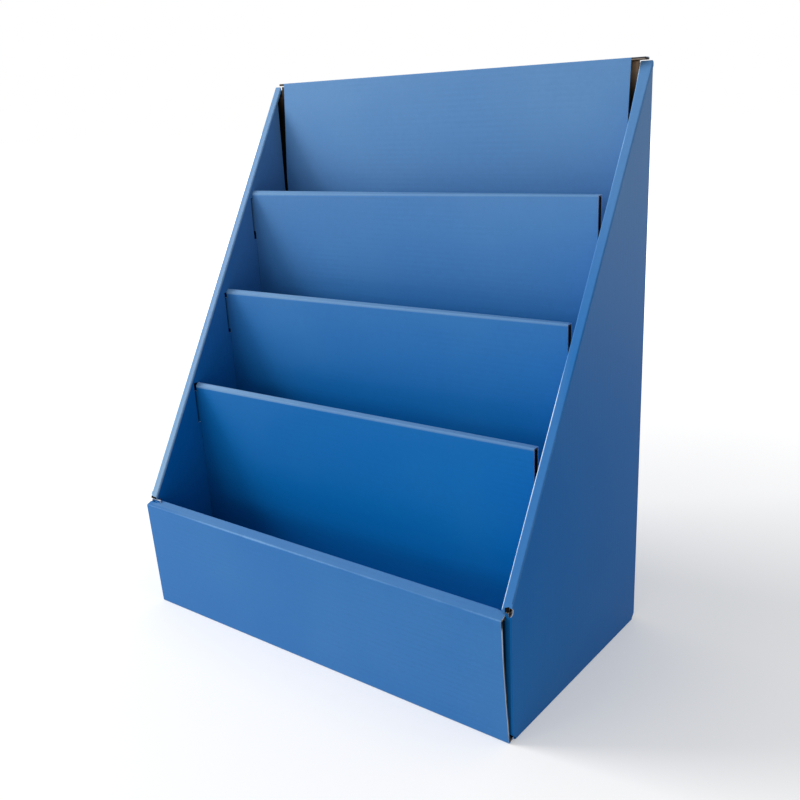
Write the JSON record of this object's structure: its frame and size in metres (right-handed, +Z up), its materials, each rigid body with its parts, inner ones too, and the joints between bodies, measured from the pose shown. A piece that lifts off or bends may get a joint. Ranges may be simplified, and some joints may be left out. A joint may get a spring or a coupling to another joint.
{
  "type": "countertop display stand",
  "caption": "Countertop display stand of folded corrugated board, with slanted double side walls, a low front panel, a tall back and stepped pockets for flat goods",
  "frame": {"origin": "on the table, under the middle of the stand's bounding box", "axes": "+X to the right as seen from the front, +Y from the front panel to the back, +Z up"},
  "size_m": [0.3, 0.1638, 0.357],
  "materials": {
    "shell_board": "printed outer liner, matt",
    "insert_board": "printed outer liner, matt"
  },
  "bodies": {
    "root": {"display_shell": "shell_board", "stepped_insert": "insert_board"}
  },
  "joints": []
}
